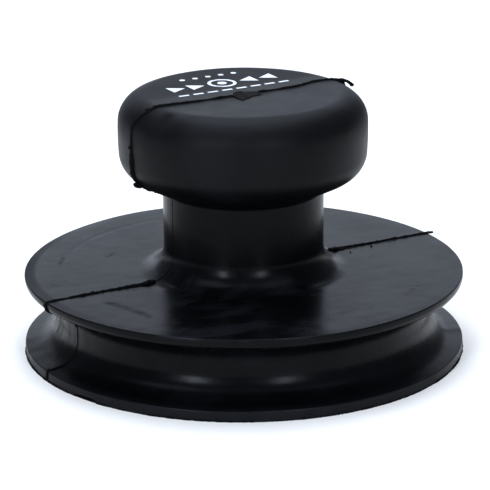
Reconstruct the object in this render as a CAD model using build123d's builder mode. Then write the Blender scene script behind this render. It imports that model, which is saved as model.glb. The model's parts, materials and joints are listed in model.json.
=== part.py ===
from build123d import *
from math import asin, atan2, cos, degrees, radians, sin, sqrt, tan
import os

# One-piece rubber sink plunger: a round grip knob on a short neck, above a bell
# whose wall is waisted between two flanges like a pulley, so that it folds when
# it is pressed. Each solid is one zone of that moulding, cut where the rubber
# starts to flex, or a trace that the mould or the printer left on it.
# Millimetres, +Z up, origin on the axis in the plane that the rim seals against.

# Rim: the lower flange and the lip inside it
rim_radius = 60.2
rim_top = 5.3
rim_slope = 8.0
lip_radius = 50.5
lip_foot_radius = 47.5
lip_bevel_top = 3.5
burr_reach = 0.3
burr_low = 0.1
burr_high = 0.6

# Bell: the waisted wall, the roof and the upper flange
waist_radius = 50.9
waist_bottom = 10.2
waist_top = 12.5
lower_fillet = 7.0
upper_fillet = 6.5
cavity_radius = 43.5
cavity_depth = 15.0
cavity_fillet = 6.0
wall_top = 14.0
crown_radius = 49.5
flange_radius = 60.0
flange_top = 22.3
flange_edge_low = 21.3
flange_edge_corner = 2.3

# Neck
neck_radius = 21.85
neck_top = 45.3
root_fillet = 7.0
root_seat_depth = 1.0

# Knob
knob_radius = 33.75
knob_under_radius = 33.65
knob_under_top = 55.9
under_corner = 7.7
knob_widest = 60.4
knob_bulge = 0.05
knob_corner = 7.6
knob_top = 71.6

# Mould flash: a thin fin that stands up where the two mould halves met
seam_angle = 29.3
flash_width = 0.5
flash_height = 0.6
neck_flash_height = 0.25
gate_height = 0.7
gate_gap = 4.6

# White print on the knob's top, in rows along the seam
print_height = 0.1
print_line = 0.9
icon_row = 11.5
ring_radius = 4.0
ring_dot_radius = 1.3
arrow_radius = 3.0
arrow_start = 8.5
arrow_pitch = 6.0
arrow_count = 2
dash_row = 4.6
dash_length = 3.0
dash_pitch = 4.4
dash_count = 8
dot_row = 19.5
dot_radius = 0.8
dot_pitch = 4.0
dot_count = 5

# Worked out from the sizes above
root_foot_radius = neck_radius + root_fillet
root_top = flange_top + root_fillet
lower_centre = (waist_radius + lower_fillet, waist_bottom)
upper_centre = (waist_radius + upper_fillet, waist_top)
cavity_centre = (cavity_radius - cavity_fillet, cavity_depth - cavity_fillet)
rim_joint_angle = 180 + degrees(asin((waist_bottom - rim_top) / lower_fillet))
rim_slope_angle = 270 - rim_slope
wall_joint_angle = 180 - degrees(asin((wall_top - waist_top) / upper_fillet))
cavity_joint_angle = degrees(asin((wall_top - cavity_centre[1]) / cavity_fillet))
seam_direction = Vector(cos(radians(seam_angle)), sin(radians(seam_angle)), 0)
seam_normal = Vector(sin(radians(seam_angle)), -cos(radians(seam_angle)), 0)
right_seam_plane = Plane(origin=(0, 0, 0), x_dir=seam_direction, z_dir=seam_normal)
left_seam_plane = Plane(origin=(0, 0, 0), x_dir=-seam_direction, z_dir=-seam_normal)
seam_planes = (right_seam_plane, left_seam_plane)
under_centre = (knob_under_radius - under_corner, knob_under_top)
under_run = under_centre[0] - neck_radius
under_rise = under_centre[1] - neck_top
under_slope = degrees(
    atan2(under_rise, under_run) - asin(under_corner / sqrt(under_run**2 + under_rise**2))
)
knob_top_plane = Plane(origin=(0, 0, knob_top), x_dir=seam_direction, z_dir=(0, 0, 1))

# Half sections: x is the radius from the axis and y is the height.

with BuildSketch() as lower_flange_section:
    with BuildLine():
        fillet_arc = CenterArc(
            lower_centre, lower_fillet, rim_joint_angle, rim_slope_angle - rim_joint_angle
        )
        slope_drop = (rim_radius - (fillet_arc @ 1).X) * tan(radians(rim_slope))
        Polyline(
            fillet_arc @ 1,
            (rim_radius, (fillet_arc @ 1).Y - slope_drop),
            (rim_radius, 0),
            (lip_radius, 0),
            (lip_radius, rim_top),
            fillet_arc @ 0,
        )
    make_face()

with BuildSketch() as lip_section:
    with BuildLine():
        Polyline(
            (lip_radius, 0),
            (lip_radius, rim_top),
            (cavity_radius, rim_top),
            (cavity_radius, lip_bevel_top),
            (lip_foot_radius, 0),
            close=True,
        )
    make_face()

with BuildSketch() as bell_wall_section:
    with BuildLine():
        low_arc = CenterArc(lower_centre, lower_fillet, 180, rim_joint_angle - 180)
        high_arc = CenterArc(upper_centre, upper_fillet, 180, wall_joint_angle - 180)
        inner_arc = CenterArc(cavity_centre, cavity_fillet, 0, cavity_joint_angle)
        Line(low_arc @ 0, high_arc @ 0)
        Line(high_arc @ 1, inner_arc @ 1)
        Polyline(inner_arc @ 0, (cavity_radius, rim_top), low_arc @ 1)
    make_face()

with BuildSketch() as bell_crown_section:
    with BuildLine():
        ceiling_arc = CenterArc(
            cavity_centre, cavity_fillet, cavity_joint_angle, 90 - cavity_joint_angle
        )
        Polyline(
            ceiling_arc @ 1,
            (0, cavity_depth),
            (0, flange_top - root_seat_depth),
            (root_foot_radius, flange_top - root_seat_depth),
            (root_foot_radius, flange_top),
            (crown_radius, flange_top),
            (crown_radius, wall_top),
            ceiling_arc @ 0,
        )
    make_face()

with BuildSketch() as upper_flange_section:
    with BuildLine():
        groove_arc = CenterArc(upper_centre, upper_fillet, wall_joint_angle, 90 - wall_joint_angle)
        edge_arc = CenterArc(
            (flange_radius - flange_edge_corner, flange_edge_low), flange_edge_corner, 270, 90
        )
        Line(groove_arc @ 1, edge_arc @ 0)
        Polyline(
            edge_arc @ 1,
            (flange_radius, flange_top),
            (crown_radius, flange_top),
            (crown_radius, wall_top),
            groove_arc @ 0,
        )
    make_face()

with BuildSketch() as neck_root_section:
    with BuildLine():
        flare_arc = CenterArc((root_foot_radius, root_top), root_fillet, 180, 90)
        Polyline(
            flare_arc @ 1,
            (root_foot_radius, flange_top - root_seat_depth),
            (0, flange_top - root_seat_depth),
            (0, root_top),
            flare_arc @ 0,
        )
    make_face()

with BuildSketch() as neck_section:
    with Locations((0, root_top)):
        Rectangle(neck_radius, neck_top - root_top, align=(Align.MIN, Align.MIN))

with BuildSketch() as knob_section:
    with BuildLine():
        under_arc = CenterArc(under_centre, under_corner, under_slope - 90, 90 - under_slope)
        corner_arc = CenterArc((knob_radius - knob_corner, knob_top - knob_corner), knob_corner, 0, 90)
        ThreePointArc(under_arc @ 1, (knob_radius + knob_bulge, knob_widest), corner_arc @ 0)
        Polyline(corner_arc @ 1, (0, knob_top), (0, neck_top), (neck_radius, neck_top), under_arc @ 0)
    make_face()

# Zones of the moulding, each turned from its half section

with BuildPart() as lower_flange:
    with BuildSketch(Plane.XZ):
        add(lower_flange_section.sketch)
    revolve(axis=Axis.Z)

with BuildPart() as sealing_lip:
    with BuildSketch(Plane.XZ):
        add(lip_section.sketch)
    revolve(axis=Axis.Z)

with BuildPart() as bell_wall:
    with BuildSketch(Plane.XZ):
        add(bell_wall_section.sketch)
    revolve(axis=Axis.Z)

with BuildPart() as bell_crown:
    with BuildSketch(Plane.XZ):
        add(bell_crown_section.sketch)
    revolve(axis=Axis.Z)

with BuildPart() as upper_flange:
    with BuildSketch(Plane.XZ):
        add(upper_flange_section.sketch)
    revolve(axis=Axis.Z)

with BuildPart() as neck_root:
    with BuildSketch(Plane.XZ):
        add(neck_root_section.sketch)
    revolve(axis=Axis.Z)

with BuildPart() as neck:
    with BuildSketch(Plane.XZ):
        add(neck_section.sketch)
    revolve(axis=Axis.Z)

with BuildPart() as knob:
    with BuildSketch(Plane.XZ):
        add(knob_section.sketch)
    revolve(axis=Axis.Z)

# Ragged burr round the rim's lower edge, where the moulding was trimmed

with BuildPart() as rim_burr:
    with BuildSketch(Plane.XZ):
        with Locations((rim_radius, burr_low)):
            Rectangle(burr_reach, burr_high - burr_low, align=(Align.MIN, Align.MIN))
    revolve(axis=Axis.Z)


def draw_fin(section, height, low_corner, high_corner):
    """Draw the band that lies just outside a half section, kept within a window."""
    add(section.sketch)
    offset(amount=height)
    add(section.sketch, mode=Mode.SUBTRACT)
    with Locations(low_corner):
        Rectangle(
            high_corner[0] - low_corner[0],
            high_corner[1] - low_corner[1],
            align=(Align.MIN, Align.MIN),
            mode=Mode.INTERSECT,
        )


with BuildPart() as rim_flash:
    with BuildSketch(*seam_planes):
        draw_fin(
            lower_flange_section,
            flash_height,
            (lip_radius, burr_high),
            (rim_radius + flash_height, rim_top),
        )
    extrude(amount=flash_width / 2, both=True)

with BuildPart() as waist_flash:
    with BuildSketch(*seam_planes):
        draw_fin(
            bell_wall_section,
            neck_flash_height,
            (lip_radius, rim_top),
            (rim_radius, wall_top),
        )
    extrude(amount=flash_width / 2, both=True)

with BuildPart() as flange_flash:
    with BuildSketch(*seam_planes):
        draw_fin(
            upper_flange_section,
            flash_height,
            (crown_radius, wall_top),
            (flange_radius + flash_height, flange_top + flash_height),
        )
        with Locations((root_foot_radius, flange_top)):
            Rectangle(crown_radius - root_foot_radius, flash_height, align=(Align.MIN, Align.MIN))
    extrude(amount=flash_width / 2, both=True)

with BuildPart() as root_flash:
    with BuildSketch(*seam_planes):
        draw_fin(
            neck_root_section,
            flash_height,
            (neck_radius, flange_top),
            (root_foot_radius, root_top),
        )
    extrude(amount=flash_width / 2, both=True)

with BuildPart() as neck_flash:
    with BuildSketch(*seam_planes):
        draw_fin(
            neck_section,
            neck_flash_height,
            (neck_radius, root_top),
            (neck_radius + neck_flash_height, neck_top),
        )
    extrude(amount=flash_width / 2, both=True)

with BuildPart() as knob_flash:
    with BuildSketch(*seam_planes):
        draw_fin(
            knob_section,
            flash_height,
            (gate_gap, neck_top),
            (knob_radius + 2 * flash_height, knob_top + flash_height),
        )
    extrude(amount=flash_width / 2, both=True)

# Torn stub of the moulding's gate, in the middle of the knob's top

with BuildPart() as gate_vestige:
    with BuildSketch(knob_top_plane):
        with BuildLine():
            Polyline(
                (-2.3, 1.6),
                (-4.2, -1.4),
                (-3.8, -5.5),
                (0.4, -4.0),
                (2.9, -3.4),
                (3.6, 0.4),
                (1.1, 1.1),
                close=True,
            )
        make_face()
    extrude(amount=gate_height)


# Plain "press here" pictogram printed on the knob: arrowheads on both sides of a ring

with BuildPart() as printed_icons:
    with BuildSketch(knob_top_plane):
        for side in (-1, 1):
            for place in range(arrow_count):
                with Locations((side * (arrow_start + place * arrow_pitch), icon_row)):
                    RegularPolygon(radius=arrow_radius, side_count=3, rotation=90 + side * 90)
        with Locations((0, icon_row)):
            Circle(ring_radius)
            Circle(ring_radius - print_line, mode=Mode.SUBTRACT)
            Circle(ring_dot_radius)
    extrude(amount=print_height)

with BuildPart() as printed_marks:
    with BuildSketch(knob_top_plane):
        with Locations((0, dash_row)):
            with GridLocations(dash_pitch, 1, dash_count, 1):
                Rectangle(dash_length, print_line)
        with Locations((0, dot_row)):
            with GridLocations(dot_pitch, 1, dot_count, 1):
                Circle(dot_radius)
    extrude(amount=print_height)

pieces = {
    "lower_flange": lower_flange,
    "sealing_lip": sealing_lip,
    "bell_wall": bell_wall,
    "bell_crown": bell_crown,
    "upper_flange": upper_flange,
    "neck_root": neck_root,
    "neck": neck,
    "knob": knob,
    "rim_burr": rim_burr,
    "rim_flash": rim_flash,
    "waist_flash": waist_flash,
    "flange_flash": flange_flash,
    "root_flash": root_flash,
    "neck_flash": neck_flash,
    "knob_flash": knob_flash,
    "gate_vestige": gate_vestige,
    "printed_icons": printed_icons,
    "printed_marks": printed_marks,
}

os.makedirs("parts", exist_ok=True)
for node, piece in pieces.items():
    piece.part.label = node
    export_step(piece.part, f"parts/{node}.step")
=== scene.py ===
import json
import math

import bpy
import numpy as np
from mathutils import Matrix, Vector


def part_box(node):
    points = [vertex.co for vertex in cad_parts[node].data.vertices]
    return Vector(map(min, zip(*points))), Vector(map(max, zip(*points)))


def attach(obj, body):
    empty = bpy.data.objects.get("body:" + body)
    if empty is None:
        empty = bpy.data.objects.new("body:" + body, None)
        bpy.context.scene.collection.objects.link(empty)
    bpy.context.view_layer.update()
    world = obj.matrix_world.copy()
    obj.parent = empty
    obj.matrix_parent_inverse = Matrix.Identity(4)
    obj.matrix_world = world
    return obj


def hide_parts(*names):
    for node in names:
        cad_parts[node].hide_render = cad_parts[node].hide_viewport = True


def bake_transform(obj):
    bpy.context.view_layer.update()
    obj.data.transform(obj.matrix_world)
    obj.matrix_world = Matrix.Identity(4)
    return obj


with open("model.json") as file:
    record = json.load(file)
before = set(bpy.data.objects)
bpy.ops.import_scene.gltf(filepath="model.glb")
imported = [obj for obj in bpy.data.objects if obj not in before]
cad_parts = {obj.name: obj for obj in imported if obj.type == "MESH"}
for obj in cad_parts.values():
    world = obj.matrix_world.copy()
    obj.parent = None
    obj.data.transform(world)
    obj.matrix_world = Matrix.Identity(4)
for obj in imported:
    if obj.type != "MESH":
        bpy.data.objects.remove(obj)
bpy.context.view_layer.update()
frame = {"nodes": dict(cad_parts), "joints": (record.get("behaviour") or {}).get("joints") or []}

# A one-piece black rubber hand plunger. The CAD nodes give the sizes. Each zone of
# the moulding is rebuilt here as a dense closed mesh cut from one shared outline,
# so that neighbours meet in the same ring of points and shade as one surface.
# Lengths below are in millimetres until a mesh is made.

MM = 0.001


def reach(node):
    """How far a CAD node reaches from the axis."""
    points = np.array([v.co for v in frame["nodes"][node].data.vertices])
    return float(np.hypot(points[:, 0], points[:, 1]).max()) / MM


def foot(node):
    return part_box(node)[0].z / MM


def top(node):
    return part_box(node)[1].z / MM


# Sizes read from the frame
LIP = reach("sealing_lip")
RIM = reach("lower_flange")
RIM_TOP = top("lower_flange")
WALL_TOP = top("bell_wall")
CROWN = reach("bell_crown")
FLANGE = reach("upper_flange")
FLANGE_TOP = top("upper_flange")
ROOT_FOOT = reach("neck_root")
ROOT_SEAT = foot("neck_root")
ROOT_TOP = top("neck_root")
NECK = reach("neck")
NECK_TOP = top("neck")
KNOB = reach("knob")
KNOB_TOP = top("knob")
HINGE = [joint["pos_m"][2] for joint in frame["joints"] if joint["type"] == "hinge"][0] / MM

# Sizes that the nodes' boxes don't give
CAVITY = 43.5
CEILING = 15.0
CAVITY_FILLET = 6.0
LIP_FOOT = 47.5
LIP_BEVEL = 3.5
WAIST = 50.9
WAIST_LOW = 10.2
WAIST_HIGH = 12.5
LOWER_FILLET = 7.0
UPPER_FILLET = 6.5
RIM_SLOPE = 8.0
FLANGE_CORNER = 2.3
FLANGE_STRAIGHT = 1.0
KNOB_UNDER = 33.65
KNOB_UNDER_TOP = 55.9
KNOB_UNDER_CORNER = 7.7
KNOB_CORNER = 7.6
KNOB_SIDE_LEAN = 0.1
CRISP = 0.3

# Marks of the mould and of trimming. Angles are in degrees round the axis.
WITNESS = 50.4
WITNESS_WIDTH = 0.75
WITNESS_DEPTH = 0.04
DROOP_START = 56.6
DROOP = 0.30
DISH = 0.12
DENT = 0.25
DENT_RADIUS = 31.0
DENT_ANGLE = -133
NOTCH = -133.7
NOTCH_HALF = 4.2
NOTCH_DEPTH = 0.55
KNOB_DRIFT = 2.2
FIN_CEILING = KNOB_TOP + 0.62

SEAM = math.radians(29.3)
SEAM_OUT = np.array([math.cos(SEAM), math.sin(SEAM), 0.0])
SEAM_ACROSS = np.array([-math.sin(SEAM), math.cos(SEAM), 0.0])

AROUND = 720
ANGLES = np.linspace(0, 2 * np.pi, AROUND, endpoint=False)


# ---------------------------------------------------------------- outline

def line(start, end, step=1.0):
    """Points along a straight stretch of the outline, both ends included."""
    start, end = np.array(start, float), np.array(end, float)
    count = max(2, int(np.ceil(np.linalg.norm(end - start) / step)) + 1)
    return start + (end - start) * np.linspace(0, 1, count)[:, None]


def arc(centre, radius, start, end, step=0.4):
    """Points along a round stretch, from one angle in degrees to another."""
    count = max(5, int(abs(math.radians(end - start)) * radius / step) + 2)
    angles = np.radians(np.linspace(start, end, count))
    return np.column_stack(
        [centre[0] + radius * np.cos(angles), centre[1] + radius * np.sin(angles)]
    )


def join(*stretches):
    """One stretch from several. A point where two of them meet is kept once."""
    points = [stretches[0]]
    for stretch in stretches[1:]:
        points.append(stretch[1:] if np.allclose(points[-1][-1], stretch[0]) else stretch)
    return np.vstack(points)


def rim_outline():
    """The lower flange: flat foot, upright edge with a crisp top, gentle slope, fillet."""
    centre = (WAIST + LOWER_FILLET, WAIST_LOW)
    start = 270 - RIM_SLOPE
    end = 180 + math.degrees(math.asin((WAIST_LOW - RIM_TOP) / LOWER_FILLET))
    fillet = arc(centre, LOWER_FILLET, start, end)
    slope = math.radians(RIM_SLOPE)
    corner_x = RIM - CRISP
    drop = CRISP + (corner_x - fillet[0][0]) * math.sin(slope)
    corner_z = fillet[0][1] - drop / math.cos(slope)
    return join(
        line((LIP, 0), (RIM - CRISP, 0)),
        arc((corner_x, CRISP), CRISP, 270, 360, 0.1),
        line((RIM, CRISP), (RIM, corner_z), 0.5),
        arc((corner_x, corner_z), CRISP, 0, 90 - RIM_SLOPE, 0.1),
        fillet,
    )


def lip_outline():
    """The lip inside the rim: short wall, bevel and flat foot."""
    return join(
        line((CAVITY, RIM_TOP), (CAVITY, LIP_BEVEL), 0.6),
        line((CAVITY, LIP_BEVEL), (LIP_FOOT, 0), 0.6),
        line((LIP_FOOT, 0), (LIP, 0), 0.6),
    )


def wall_outline():
    """The outside of the waisted wall."""
    low = 180 + math.degrees(math.asin((WAIST_LOW - RIM_TOP) / LOWER_FILLET))
    high = 180 - math.degrees(math.asin((WALL_TOP - WAIST_HIGH) / UPPER_FILLET))
    return join(
        arc((WAIST + LOWER_FILLET, WAIST_LOW), LOWER_FILLET, low, 180),
        line((WAIST, WAIST_LOW), (WAIST, WAIST_HIGH), 0.5),
        arc((WAIST + UPPER_FILLET, WAIST_HIGH), UPPER_FILLET, 180, high),
    )


def flange_outline():
    """The upper flange: groove fillet, rounded lower corner, upright edge, flat top."""
    high = 180 - math.degrees(math.asin((WALL_TOP - WAIST_HIGH) / UPPER_FILLET))
    edge = (FLANGE - FLANGE_CORNER, FLANGE_TOP - FLANGE_STRAIGHT)
    return join(
        arc((WAIST + UPPER_FILLET, WAIST_HIGH), UPPER_FILLET, high, 90),
        arc(edge, FLANGE_CORNER, 270, 360, 0.3),
        line((FLANGE, edge[1]), (FLANGE, FLANGE_TOP - CRISP), 0.3),
        arc((FLANGE - CRISP, FLANGE_TOP - CRISP), CRISP, 0, 90, 0.1),
        line((FLANGE - CRISP, FLANGE_TOP), (WITNESS + 1.2, FLANGE_TOP), 0.6),
        line((WITNESS + 1.2, FLANGE_TOP), (CROWN, FLANGE_TOP), 0.15),
    )


def root_outline(low, high):
    """The flared root of the neck, between two heights."""
    fillet = ROOT_TOP - FLANGE_TOP
    centre = (ROOT_FOOT, ROOT_TOP)
    turn = [180 + math.degrees(math.asin((ROOT_TOP - z) / fillet)) for z in (low, high)]
    return arc(centre, fillet, turn[0], turn[1], 0.3)


def knob_outline():
    """The knob: coned underside, faintly bulged side, round corner, flat top."""
    corner = KNOB_UNDER_CORNER
    run, rise = KNOB_UNDER - corner - NECK, KNOB_UNDER_TOP - NECK_TOP
    slope = math.degrees(math.atan2(rise, run) - math.asin(corner / math.hypot(run, rise)))
    under = arc((KNOB_UNDER - corner, KNOB_UNDER_TOP), corner, slope - 90, 0)
    side_top = KNOB_TOP - KNOB_CORNER
    side_z = np.linspace(KNOB_UNDER_TOP, side_top, 14)
    share = (side_z - KNOB_UNDER_TOP) / (side_top - KNOB_UNDER_TOP)
    bulge = 4 * share * (1 - share) * (KNOB - KNOB_UNDER) * 0.7
    side_x = KNOB_UNDER + share * KNOB_SIDE_LEAN + bulge
    return join(
        line((NECK, NECK_TOP), under[0], 0.5),
        under,
        np.column_stack([side_x, side_z]),
        arc((side_x[-1] - KNOB_CORNER, side_top), KNOB_CORNER, 0, 90),
        line((side_x[-1] - KNOB_CORNER, KNOB_TOP), (0, KNOB_TOP), 0.7),
    )


# The cup's corner, and the angle at which the wall begins
CUP_CORNER = (CAVITY - CAVITY_FILLET, CEILING - CAVITY_FILLET)
CUP_TURN = math.degrees(math.asin((WALL_TOP - CEILING + CAVITY_FILLET) / CAVITY_FILLET))


def cup_outline():
    """The roof of the cup, from its middle out to the wall."""
    return join(
        line((0, CEILING), (CUP_CORNER[0], CEILING), 1.5),
        arc(CUP_CORNER, CAVITY_FILLET, 90, CUP_TURN),
    )


def cup_wall_outline():
    """The inside of the wall."""
    return join(
        arc(CUP_CORNER, CAVITY_FILLET, CUP_TURN, 0),
        line((CAVITY, CUP_CORNER[1]), (CAVITY, RIM_TOP), 0.7),
    )


# The whole outline, from the middle of the cup's roof to the middle of the knob's top
OUTLINE_PARTS = {
    "cup_roof": cup_outline(),
    "cup_wall": cup_wall_outline(),
    "lip": lip_outline(),
    "rim": rim_outline(),
    "wall": wall_outline(),
    "flange": flange_outline(),
    "crown": line((CROWN, FLANGE_TOP), (ROOT_FOOT, FLANGE_TOP), 0.7),
    "root_low": root_outline(FLANGE_TOP, HINGE),
    "root_high": root_outline(HINGE, ROOT_TOP),
    "neck": line((NECK, ROOT_TOP), (NECK, NECK_TOP), 0.7),
    "knob": knob_outline(),
}
OUTLINE = join(*OUTLINE_PARTS.values())
SPANS = {}
first = 0
for part, stretch in OUTLINE_PARTS.items():
    SPANS[part] = (first, first + len(stretch) - 1)
    first += len(stretch) - 1


def outline_normals():
    """Unit normals of the outline, pointing out of the rubber."""
    along = np.gradient(OUTLINE, axis=0)
    normals = np.column_stack([along[:, 1], -along[:, 0]])
    return normals / np.linalg.norm(normals, axis=1)[:, None]


NORMALS = outline_normals()


# ---------------------------------------------------------------- unevenness

NOISE_TABLE = np.random.default_rng(7).uniform(0, 1, (32, 32, 32))


def value_noise(x, y, z, grain, octaves=3):
    """Fractal noise from 0 to 1, with patches about one grain across, in mm."""
    total, weight = 0.0, 0.0
    for octave in range(octaves):
        share = 0.55**octave
        place = [np.asarray(value, float) * 2**octave / grain + 9.7 * octave for value in (x, y, z)]
        whole = [np.floor(value).astype(int) for value in place]
        part = [value - low for value, low in zip(place, whole)]
        part = [value * value * (3 - 2 * value) for value in part]
        level = 0.0
        for corner in range(8):
            pick = [(corner >> axis) & 1 for axis in range(3)]
            near = [part[axis] if pick[axis] else 1 - part[axis] for axis in range(3)]
            index = tuple((whole[axis] + pick[axis]) % 32 for axis in range(3))
            level = level + NOISE_TABLE[index] * near[0] * near[1] * near[2]
        total = total + share * level
        weight += share
    return total / weight


def make_waves(seed, count, low, high):
    """Plane waves with random directions, and wavelengths between two lengths."""
    rng = np.random.default_rng(seed)
    directions = rng.normal(size=(count, 3))
    directions /= np.linalg.norm(directions, axis=1)[:, None]
    lengths = rng.uniform(low, high, count)
    return directions * (2 * np.pi / lengths)[:, None], rng.uniform(0, 2 * np.pi, count)


BROAD_WAVES = make_waves(3, 14, 16.0, 40.0)
SMALL_WAVES = make_waves(4, 22, 4.0, 10.0)


def ripple(x, y, z, waves):
    """Smooth unevenness between about -1 and 1."""
    total = 0.0
    for direction, phase in zip(*waves):
        total = total + np.sin(direction[0] * x + direction[1] * y + direction[2] * z + phase)
    return total / math.sqrt(len(waves[1]))


def step_up(low, high, value):
    """Smooth step from 0 to 1 between two values."""
    share = np.clip((value - low) / (high - low), 0, 1)
    return share * share * (3 - 2 * share)


def beside(angle, middle, spread):
    """1 at an angle in degrees round the axis, fading to 0 over a spread on both sides."""
    away = np.abs((np.degrees(angle) - middle + 180) % 360 - 180)
    return 1 - step_up(0.0, spread, away)


def unevenness(r, angle, z):
    """How far the moulded skin stands off its true outline, in mm."""
    x, y = r * np.cos(angle), r * np.sin(angle)
    offset = 0.035 * ripple(x, y, z, BROAD_WAVES) + 0.008 * ripple(x, y, z, SMALL_WAVES)
    on_disc = step_up(FLANGE_TOP - 0.5, FLANGE_TOP - 0.1, z) * step_up(ROOT_TOP, FLANGE_TOP, z)
    witness = np.exp(-(((r - WITNESS) / WITNESS_WIDTH) ** 2)) * (0.08 + 0.92 * beside(angle, 143, 50))
    droop = step_up(DROOP_START, FLANGE + 0.2, r) * (0.12 + 0.88 * beside(angle, 178, 60))
    offset = offset - on_disc * (WITNESS_DEPTH * witness + DROOP * droop)
    on_knob = step_up(KNOB_UNDER_TOP, KNOB_TOP, z)
    dent = np.exp(-(((r - DENT_RADIUS) / 2.6) ** 2)) * beside(angle, DENT_ANGLE, 16)
    dish = step_up(30.0, 8.0, r) * step_up(KNOB_TOP - 1, KNOB_TOP, z)
    offset = offset - on_knob * (DENT * dent + DISH * dish)
    in_groove = step_up(3.5, 5.5, z) * step_up(FLANGE_TOP - 2, FLANGE_TOP - 4.5, z) * (r > WAIST - 1)
    flow = value_noise(angle * WAIST, 0.16 * z, 0.1 * r, 1.9, 2) - 0.5
    offset = offset + 0.05 * in_groove * flow * (0.25 + 0.75 * beside(angle, 180, 45))
    chipped = np.minimum(1, 3 * beside(angle, NOTCH, NOTCH_HALF)) * step_up(1.2, 0.2, z) * (r > LIP)
    return offset - NOTCH_DEPTH * chipped * (0.5 + value_noise(x, y, z, 1.2, 1))


def skin_points(angles):
    """The uneven skin: one ring of points for each point of the outline."""
    r, z = OUTLINE[:, :1], OUTLINE[:, 1:]
    ring = np.broadcast_to(angles[None, :], (len(OUTLINE), len(angles)))
    offset = unevenness(r, ring, z)
    radius = r + offset * NORMALS[:, :1] * (r > 1e-6)
    height = z + offset * NORMALS[:, 1:]
    flat_foot = (OUTLINE[:, 1:] < 1e-6) & (OUTLINE[:, :1] > CAVITY)
    height = np.where(flat_foot, 0.0, np.maximum(height, 0.0))
    return np.stack([radius * np.cos(ring), radius * np.sin(ring), height], axis=2)


SKIN = skin_points(ANGLES)


def skin_normals():
    """Normals of the whole skin, shared by the zones so that their joints don't show."""
    along = np.gradient(SKIN, axis=0)
    around = np.roll(SKIN, -1, axis=1) - np.roll(SKIN, 1, axis=1)
    normals = np.cross(around, along)
    length = np.linalg.norm(normals, axis=2, keepdims=True)
    axis_end = np.array([0.0, 0.0, 1.0]) * np.sign(OUTLINE[:, 1] - CEILING - 1)[:, None, None]
    return np.where(length > 1e-9, normals / np.maximum(length, 1e-9), axis_end)


SKIN_NORMALS = skin_normals()


# ---------------------------------------------------------------- wear and painted sheen

def along_path(x, y, corners, spread):
    """1 on a broken line through (x, y) corners, fading to 0 over a spread."""
    nearest = np.full(np.shape(x), 1e9)
    for (x0, y0), (x1, y1) in zip(corners[:-1], corners[1:]):
        dx, dy = x1 - x0, y1 - y0
        share = np.clip(((x - x0) * dx + (y - y0) * dy) / (dx * dx + dy * dy), 0, 1)
        nearest = np.minimum(nearest, np.hypot(x - x0 - share * dx, y - y0 - share * dy))
    return 1 - step_up(0, spread, nearest)


# Smudges on top of the upper flange: corners in mm, spread and strength
SMUDGES = (
    (((-35.7, -30.2), (-31.0, -34.0), (-27.0, -38.3), (-24.2, -43.1)), 1.7, 1.0),
    (((-36.9, -28.6), (-34.6, -27.9)), 1.2, 0.6),
    (((-52.6, -15.2), (-49.5, -16.4)), 1.8, 0.6),
    (((-50.6, 3.2), (-49.9, 8.6)), 0.7, 0.8),
    (((-37.9, 9.2), (-36.2, 12.2)), 0.6, 0.8),
    (((-20.0, -41.5), (-17.2, -47.0)), 1.1, 0.5),
    (((24.0, -40.0), (29.5, -36.5), (33.0, -35.0)), 1.2, 0.4),
    (((43.0, -24.0), (46.5, -18.0)), 1.4, 0.4),
)


def on_flange_top(z):
    return step_up(FLANGE_TOP - 0.9, FLANGE_TOP - 0.4, z) * step_up(ROOT_TOP, FLANGE_TOP + 1, z)


def on_knob_top(z):
    return step_up(KNOB_TOP - 1.5, KNOB_TOP - 0.3, z)


def across_seam(x, y):
    """Distance from the seam plane, positive to the back."""
    return x * SEAM_ACROSS[0] + y * SEAM_ACROSS[1]


def bloom_and_sheen_map(x, y, z, broad, fine):
    """Pale bloom: patches on the flange and on the front half of the knob's top, and a painted reflection of
    the floor on the rim's upright edge.
    """
    r, angle = np.hypot(x, y), np.arctan2(y, x)
    across = across_seam(x, y)
    bare = np.maximum(on_flange_top(z), on_knob_top(z) * step_up(2.0, -2.0, across))
    bloom_and_sheen = step_up(0.46, 0.68, broad) * (0.35 + 0.65 * fine) * (0.25 + 0.75 * bare)
    front_half = on_knob_top(z) * step_up(-1.5, -7.0, across) * step_up(31.0, 21.0, r)
    bloom_and_sheen = bloom_and_sheen + front_half * 1.8 * step_up(0.22, 0.72, broad) * (0.6 + 0.4 * fine)
    brushed = value_noise(r * 0.22, angle * ROOT_FOOT, z * 0.3, 1.1, 2)
    near_root = on_flange_top(z) * step_up(42, 31, r) * beside(angle, -128, 40)
    bloom_and_sheen = bloom_and_sheen + 0.35 * near_root * step_up(0.5, 0.75, brushed)
    # Painted reflection: the rim's upright edge is lightened like bloom, standing in for the bright floor
    # that it reflects.
    painted_floor_reflection = step_up(RIM - 0.4, RIM - 0.1, r) * step_up(RIM_TOP - 0.6, RIM_TOP - 1.4, z)
    return np.maximum(bloom_and_sheen, painted_floor_reflection * (0.5 + 0.5 * fine))


def grime_map(x, y, z, fine):
    """Dark scuffs: the flange's smudges, a scuff on the knob's side and a soft patch on its shoulder."""
    angle = np.arctan2(y, x)
    grime = np.zeros_like(fine)
    for corners, spread, strength in SMUDGES:
        mark = along_path(x, y, corners, 1.25 * spread) * strength * step_up(0.25, 0.72, fine)
        grime = np.maximum(grime, mark * on_flange_top(z))
    scuff = beside(angle, -85.2, 4.6) * step_up(66.6, 67.6, z) * step_up(69.8, 68.6, z)
    grime = np.maximum(grime, scuff * step_up(0.35, 0.6, fine))
    patch = beside(angle, -132, 7) * step_up(68.6, 70.0, z) * step_up(KNOB_TOP, KNOB_TOP - 0.6, z)
    return np.maximum(grime, patch)


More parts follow.
